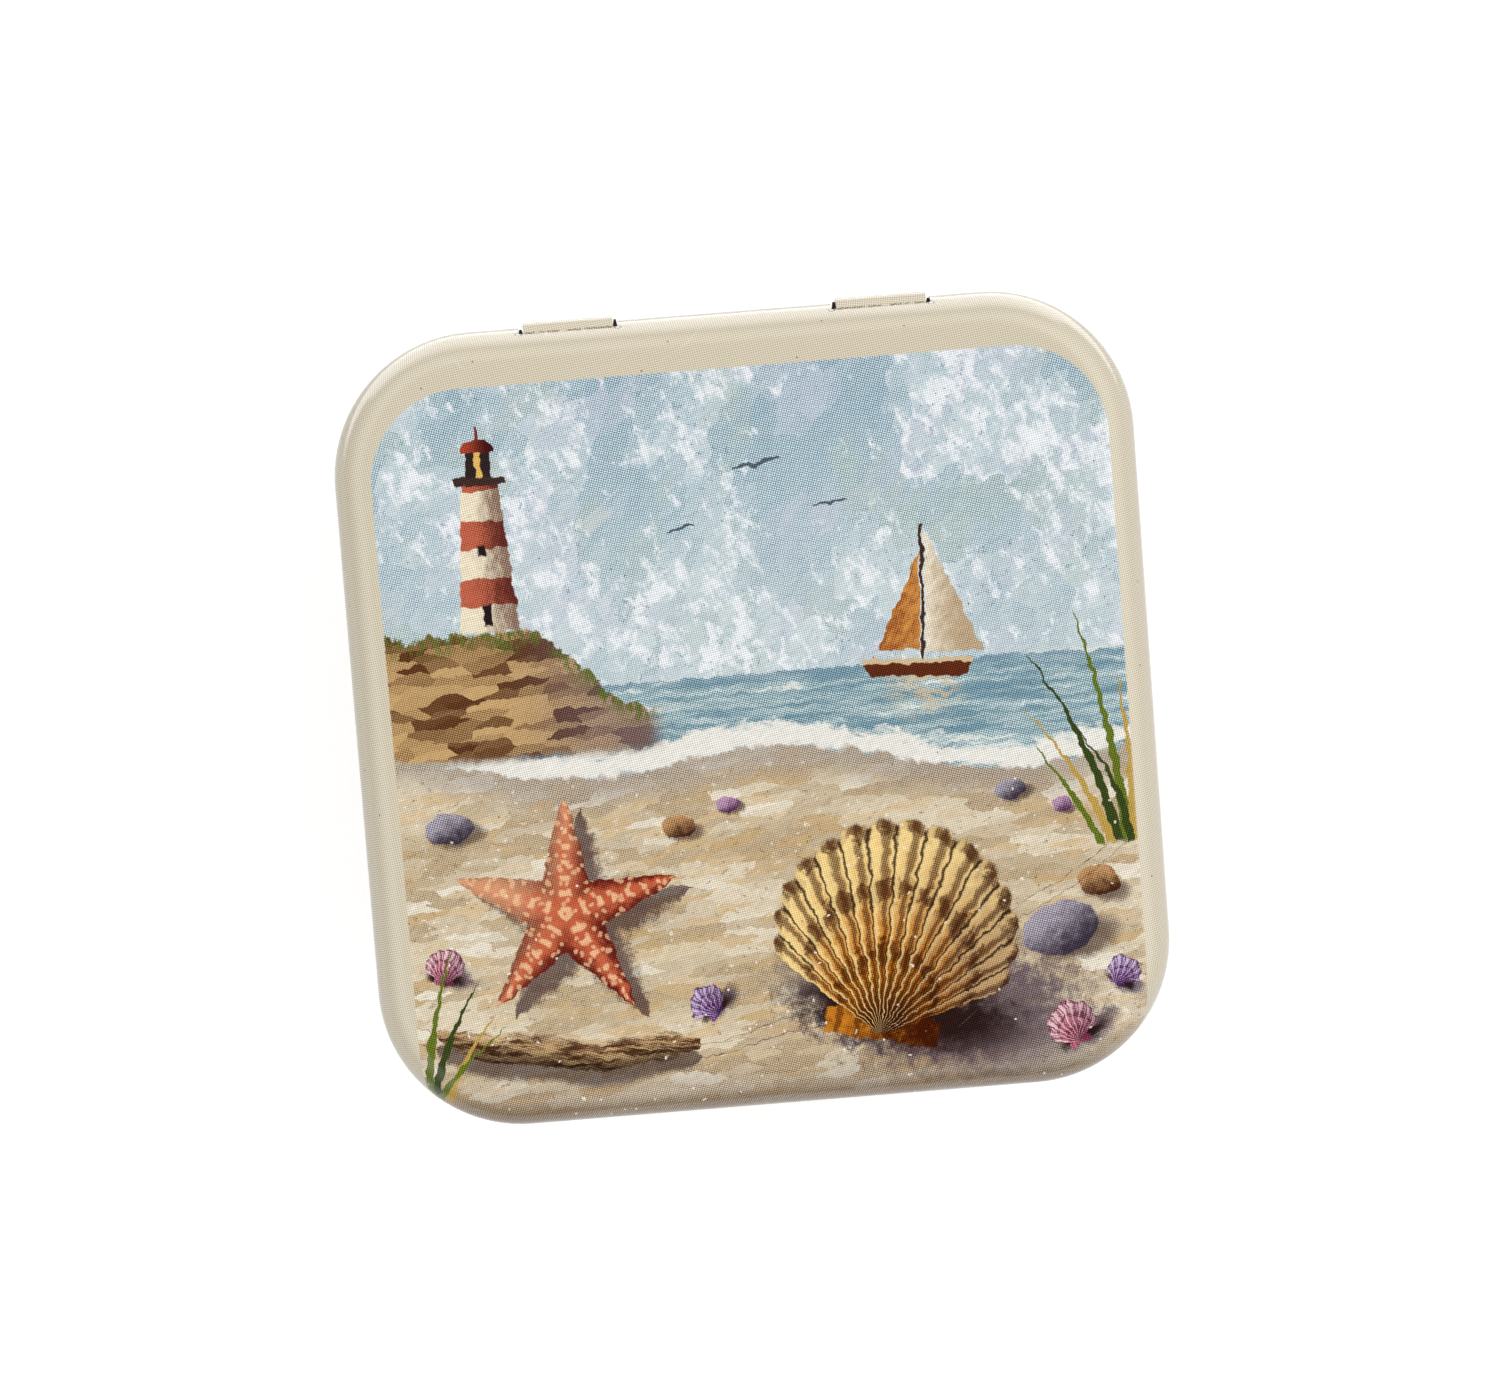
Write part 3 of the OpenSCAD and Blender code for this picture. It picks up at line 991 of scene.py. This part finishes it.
def backTrim():
    # What the skirt loses at the back and round the rear corners, drawn from the side
    endR, upR = lid["skirtEndR"], lid["stepUpR"]
    x, y = -half - past, middleY + cornerC
    trim = startLine("trim", (x, y - endR, skirtZ))
    arcRound((x, y - endR, skirtZ + endR), (1, 0, 0), 90, lid["skirtEndSteps"])
    lineTo((0, 0, backEdgeZ - upR - (skirtZ + endR)))
    arcRound((x, y + upR, backEdgeZ - upR), (1, 0, 0), -90, lid["stepUpSteps"])
    lineTo((0, half - cornerC - upR + past, 0))
    lineTo((0, 0, skirtZ - past - backEdgeZ))
    lineTo((0, -(half - cornerC + endR + past), 0))
    bpy.ops.mesh.select_all(action="SELECT")
    bpy.ops.mesh.edge_face_add()
    lineTo((2 * (half + past), 0, 0))
    turnOut()
    bpy.ops.object.mode_set(mode="OBJECT")
    giveMaterials(trim, lidSheet, cutSlot)
    return trim


def flattenLid(p, faceMiddle):
    # The top as it lies; the rounding and the skirt are folded out round it
    r = fromCorner(p)
    panelR = cornerR - lid["edgeR"]
    if r <= panelR:
        return p.x, p.y - middleY
    drop = topZ - lid["edgeR"] - p.z
    turn = math.pi / 2 if drop > 0 else math.atan2(r - panelR, -drop)
    reach = (panelR + lid["edgeR"] * turn + max(drop, 0)) / r
    x = max(-cornerC, min(cornerC, p.x))
    y = max(-cornerC, min(cornerC, p.y - middleY))
    return x + (p.x - x) * reach, y + (p.y - middleY - y) * reach


def makeLidShell():
    shell = startLine("lid_shell", atFront(cornerR - lid["edgeR"], topZ - sheetT / 2))
    bendTo(cornerR - lid["edgeR"], topZ - lid["edgeR"], -90, lid["roundSteps"])
    lineTo((0, 0, backEdgeZ - (topZ - lid["edgeR"])))
    hemZ = skirtZ + sheetT / 2 + lid["hemR"]
    lineTo((0, 0, hemZ - backEdgeZ))
    bendTo(cornerR - sheetT / 2 - lid["hemR"], hemZ, -180, lid["hemSteps"])
    lineTo((0, 0, skirtZ + lid["hemH"] - hemZ))
    sweepRoundTin(lid["cornerSteps"])
    closeFloor(shell, cornerR - lid["edgeR"], topZ - sheetT / 2)
    pressDimples(shell)
    giveMaterials(shell, lidSheet)
    thicken(shell)
    cutAway(shell, backTrim())
    cutAtTongues(
        shell, tongue["width"] / 2 + lid["slitW"],
        (middleY + half - lid["edgeR"], pinZ - past),
        (middleY + half + past, rootZ - lid["slitDrop"]), lidSheet,
    )
    smoothOver(shell)
    mapPrint(shell, flattenLid)
    return shell


def flattenTongue(p, faceMiddle):
    # Straight out from the bend as far as the bow, and on round the bow
    bow = lidHigh.y - pinY
    bowTurn = math.radians(tongue["bowStart"])
    rootAt = Vector((middleY + rootY, rootZ))
    turn = math.atan2(p.y - pinY, p.z - pinZ) % (2 * math.pi)
    if turn < bowTurn:
        out = math.copysign((Vector((p.y, p.z)) - rootAt).length, p.y - rootAt.x)
    else:
        bowAt = Vector((lidHigh.y, pinZ + bow / math.tan(bowTurn)))
        out = (bowAt - rootAt).length + (turn - bowTurn) * bow
    return p.x + tongue["spacing"] / 2, creaseV + out


def shadedBurr(side, share, materials):
    # Torn edge of the sheet that stands up in a slit: a wedge, low at the front and narrow behind. It is
    # near-black steel: painted shade, standing in for the dark end of the slit
    wide, long, high = burr["size"]
    long, high = long * share, high * share
    x = side * (tongue["width"] + lid["slitW"]) / 2
    bpy.ops.object.select_all(action="DESELECT")
    bpy.ops.mesh.primitive_cube_add(size=1)
    wedge = bpy.context.object
    wedge.scale = (wide, long, high)
    wedge.location = (x, middleY + rootY + long * burr["back"], rootZ - high * burr["down"])
    bpy.ops.object.transform_apply(location=True, rotation=False, scale=True)
    pick(wedge, "FACE", lambda c, n: n.y < -0.5)
    bpy.ops.transform.resize(value=(1, 1, burr["frontH"]))
    pick(wedge, "FACE", lambda c, n: n.y > 0.5)
    bpy.ops.transform.translate(value=(0, 0, -high * burr["rearDown"]))
    bpy.ops.transform.resize(value=(burr["rearW"], 1, 1))
    bpy.ops.mesh.select_all(action="SELECT")
    bpy.ops.mesh.bevel(offset=high * burr["edgeR"], segments=2, affect="EDGES")
    bpy.ops.object.mode_set(mode="OBJECT")
    giveMaterials(wedge, materials, len(materials) - 1)
    return wedge


def makeTongue(name):
    # Rolled sheet: a short flat stretch behind the bend, a shoulder, and down round the pin into the tin
    bowOut = lidHigh.y - pinY
    bowZ = rootZ - math.sqrt(bowOut ** 2 - (middleY + rootY - pinY) ** 2)
    x = -tongue["width"] / 2
    lean = math.radians(90 - tongue["slope"])
    normal = Vector((0, math.cos(lean), math.sin(lean)))
    along = Vector((0, math.sin(lean), -math.cos(lean)))
    root = Vector((x, middleY + rootY, rootZ))
    r = tongue["shoulderR"]
    shoulderY = lidHigh.y - r
    shoulderZ = rootZ - (r - (root.y - shoulderY) * normal.y) / normal.z
    start = root - normal * sheetT / 2 - along * tongue["buried"]
    roll = startLine(name, start)
    lineTo(Vector((x, shoulderY, shoulderZ)) + normal * (r - sheetT / 2) - start)
    arcRound((x, shoulderY, shoulderZ), (1, 0, 0), tongue["slope"] - 90, tongue["shoulderSteps"])
    lineTo((0, 0, bowZ - shoulderZ))
    arcRound((x, pinY, bowZ), (1, 0, 0), -90, tongue["steps"])
    arcRound((x, pinY, pinZ), (1, 0, 0), tongue["endAngle"] - 270, tongue["steps"])
    bpy.ops.mesh.select_all(action="SELECT")
    lineTo((tongue["width"], 0, 0))
    turnOut()
    bpy.ops.object.mode_set(mode="OBJECT")
    # The burrs take the near-black steel, painted shade for the slits' dark ends
    sheet = (*tongueSheet, burrShadeSteel)
    giveMaterials(roll, sheet)
    thicken(roll)
    for side, share in burr["shares"]:
        takeUp(shadedBurr(side, share, sheet), roll)
        bpy.ops.object.join()
    smoothOver(roll)
    mapPrint(roll, flattenTongue)
    return roll


def placePiece(piece, x, mirrored=False):
    # Moves a piece in its own mesh
    piece.location.x = x
    piece.scale.x = -1 if mirrored else 1
    takeUp(piece)
    bpy.ops.object.transform_apply(location=True, rotation=False, scale=True)
    if mirrored:
        bpy.ops.object.mode_set(mode="EDIT")
        turnOut()
        bpy.ops.object.mode_set(mode="OBJECT")


def copyOf(piece, name):
    takeUp(piece)
    bpy.ops.object.duplicate(linked=False)
    twin = bpy.context.object
    twin.name = twin.data.name = name
    return twin


lidShell = makeLidShell()
print("lid pressed:", len(lidShell.data.polygons), "faces")
tongueLeft = makeTongue("hinge_tongue_left")
tongueRight = copyOf(tongueLeft, "hinge_tongue_right")
placePiece(tongueLeft, -tongue["spacing"] / 2)
placePiece(tongueRight, tongue["spacing"] / 2, mirrored=True)
print("hinge tongues rolled")


base = {
    "footR": 2 * mm,
    "footW": 1.5 * mm,
    "floorRise": 0.5 * mm,
    "stepAngle": 60,
    "rimEnd": 300,  # how far the rim is curled round, in degrees
    "windowDrop": 1.8 * mm,
    "windowGap": 0.3 * mm,
    "stepSteps": 5,
    "footSteps": 10,
    "rimSteps": 30,
    "cornerSteps": 20,
}
wallOut = pinC - rimR + sheetT
footOut = wallOut - cornerC - base["footR"]
footIn = footOut - base["footW"]
stepR = base["floorRise"] / (2 * (1 - math.cos(math.radians(base["stepAngle"]))))
floorR = footIn - 2 * stepR * math.sin(math.radians(base["stepAngle"]))


def flattenBase(p, faceMiddle):
    # The wall as one long strip, and the underside as it lies
    x, y, faceX, faceY = p.x, p.y - middleY, faceMiddle.x, faceMiddle.y - middleY
    if p.z < base["footR"] / 2:
        return x, y
    wallR = wallOut - cornerC
    quarter = 2 * (cornerC + wallR * math.pi / 4)
    along = 0
    while -faceY < abs(faceX) - near / 10:  # turns the tin until this face is at its front
        x, y, faceX, faceY = y, -x, faceY, -faceX
        along += quarter
    if abs(x) <= cornerC:
        return along + x, p.z
    turn = math.atan2(abs(x) - cornerC, -y - cornerC)
    return along + math.copysign(cornerC + wallR * turn, x), p.z


def makeBaseShell():
    shell = startLine("base_shell", atFront(floorR, base["floorRise"] + sheetT / 2))
    bendTo(floorR, base["floorRise"] + sheetT / 2 - stepR, -base["stepAngle"], base["stepSteps"])
    bendTo(footIn, sheetT / 2 + stepR, base["stepAngle"], base["stepSteps"])
    lineTo((0, -base["footW"], 0))
    bendTo(footOut, base["footR"], 90, base["footSteps"])
    lineTo((0, 0, pinZ - base["footR"]))
    bendTo(pinC - cornerC, pinZ, -base["rimEnd"], base["rimSteps"])
    sweepRoundTin(base["cornerSteps"], curlsOut=True)
    closeFloor(shell, floorR, base["floorRise"] + sheetT / 2)
    giveMaterials(shell, baseSheet)
    thicken(shell)
    cutAtTongues(
        shell, tongue["width"] / 2 + base["windowGap"],
        (middleY + wallOut - sheetT - past, pinZ - base["windowDrop"]),
        (middleY + wallOut + tongue["runGap"] / 2, pinZ), baseSheet,
    )
    smoothOver(shell)
    mapPrint(shell, flattenBase)
    return shell


baseShell = makeBaseShell()
print("base drawn:", len(baseShell.data.polygons), "faces")


for piece, body, slot in (
    (lidShell, "lid", "printed_lid"), (tongueLeft, "lid", "printed_lid"),
    (tongueRight, "lid", "printed_lid"), (baseShell, "base", "printed_base"),
):
    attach(piece, body)
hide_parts("lid")
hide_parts("base")


studio = {
    "floor": (0.62, 0.62, 0.62),
    "floorSize": 6,
    "floorDrop": 0.02 * mm,
    "floorGlow": 0.62,  # the white table is lit from below, as for a cut-out picture
    "high": 1.20, "right": 0.78, "left": 0.38, "behind": 0.30,  # brightness of the dome's soft lights
    "below": 0.3,
    "sheetGlow": 4.6,  # a white sheet curled up behind the tin, seen in the gloss alone
    "sheetLow": (-190 * mm, 10 * mm), "sheetHigh": (130 * mm, 120 * mm),  # from the tin's back
    "sheetLift": 1 * mm,
    "sheetRise": 90 * mm,
}


def makeFloor():
    bpy.ops.object.select_all(action="DESELECT")
    bpy.ops.mesh.primitive_plane_add(size=studio["floorSize"], location=(0, 0, -studio["floorDrop"]))
    floor = bpy.context.object
    floor.name = "floor"
    material, tree, shader = newMaterial("white_table")
    feed(tree, shader, {
        "Base Color": (*studio["floor"], 1),
        "Roughness": 0.9,
        "Specular IOR Level": 0.0,
        "Emission Color": (1, 1, 1, 1),
        "Emission Strength": studio["floorGlow"],
    })
    floor.data.materials.append(material)
    floor.visible_diffuse = floor.visible_shadow = False  # the dome alone lights the tin


def makeGlowSheet():
    low, high = studio["sheetLow"], studio["sheetHigh"]
    bpy.ops.object.select_all(action="DESELECT")
    bpy.ops.mesh.primitive_plane_add(size=1)
    sheet = bpy.context.object
    sheet.name = "glow_sheet"
    sheet.scale = (high[0] - low[0], high[1] - low[1], 1)
    sheet.location = ((low[0] + high[0]) / 2, cadHigh.y + (low[1] + high[1]) / 2, studio["sheetLift"])
    bpy.ops.object.transform_apply(location=True, rotation=False, scale=True)
    farY = cadHigh.y + high[1]
    pick(sheet, "EDGE", lambda a, b: min(a.y, b.y) > farY - mm)
    lineTo((0, 0, studio["sheetRise"]))
    bpy.ops.object.mode_set(mode="OBJECT")
    material, tree, shader = newMaterial("glow_sheet")
    place = wire(tree, "TexCoord", {}).outputs["Object"]
    height = Field(tree, wire(tree, "SeparateXYZ", {0: place}).outputs[2])
    glow = height.fade(studio["sheetRise"], 0.1 * studio["sheetRise"]) * studio["sheetGlow"]
    feed(tree, shader, {
        "Base Color": (0, 0, 0, 1),
        "Emission Color": (1, 1, 1, 1),
        "Emission Strength": glow,
    })
    sheet.data.materials.append(material)
    sheet.visible_camera = sheet.visible_diffuse = sheet.visible_shadow = False


def makeLight():
    # A soft white dome: brightest high up and at the right, dimmest in front, dark right overhead
    world = bpy.data.worlds.new("studio")
    bpy.context.scene.world = world
    world.use_nodes = True
    tree = world.node_tree
    split = wire(tree, "SeparateXYZ", {0: wire(tree, "TexCoord", {}).outputs["Generated"]})
    x, y, z = (Field(tree, split.outputs[i]) for i in range(3))
    sides = x.fade(0.1, 0.8) * studio["right"] + x.fade(-0.1, -0.8) * studio["left"]
    sides = sides + y.fade(0.1, 0.8) * studio["behind"]
    above = z.fade(-0.02, 0.05)
    lights = (z.fade(0.3, 0.8) * studio["high"] + sides * above) * z.fade(0.97, 0.86)
    strength = lights + (1 - above) * studio["below"]
    feed(tree, tree.nodes["Background"], {"Color": (1, 1, 1, 1), "Strength": strength})


view = {
    "lens": 132,
    "sensor": 36,
    "distance": 411.4 * mm,
    "leanX": -1.31,
    "leanY": 6.20,
    "roll": 4.46,
    "aside": (0.43 * mm, -1.10 * mm),
    "clip": (0.01, 20),
}


def makeCamera():
    camera = bpy.data.objects.new("camera", bpy.data.cameras.new("camera"))
    bpy.context.scene.collection.objects.link(camera)
    camera.data.lens = view["lens"]
    camera.data.sensor_width = view["sensor"]
    sx, sy = math.sin(math.radians(view["leanX"])), math.sin(math.radians(view["leanY"]))
    back = Vector((sx, sy, math.sqrt(1 - sx * sx - sy * sy)))
    flatX = Vector((0, 1, 0)).cross(back).normalized()
    flatY = back.cross(flatX)
    roll = math.radians(view["roll"])
    right = math.cos(roll) * flatX - math.sin(roll) * flatY
    up = math.sin(roll) * flatX + math.cos(roll) * flatY
    place = Vector((0, 0, topZ)) + view["distance"] * back
    place = place - view["aside"][0] * right - view["aside"][1] * up
    turn = Matrix((right, up, back)).transposed().to_4x4()
    camera.matrix_world = Matrix.Translation(place) @ turn
    camera.data.clip_start, camera.data.clip_end = view["clip"]
    bpy.context.scene.camera = camera


makeFloor()
makeGlowSheet()
makeLight()
makeCamera()
bpy.context.scene.view_settings.view_transform = "Standard"
print("studio set")
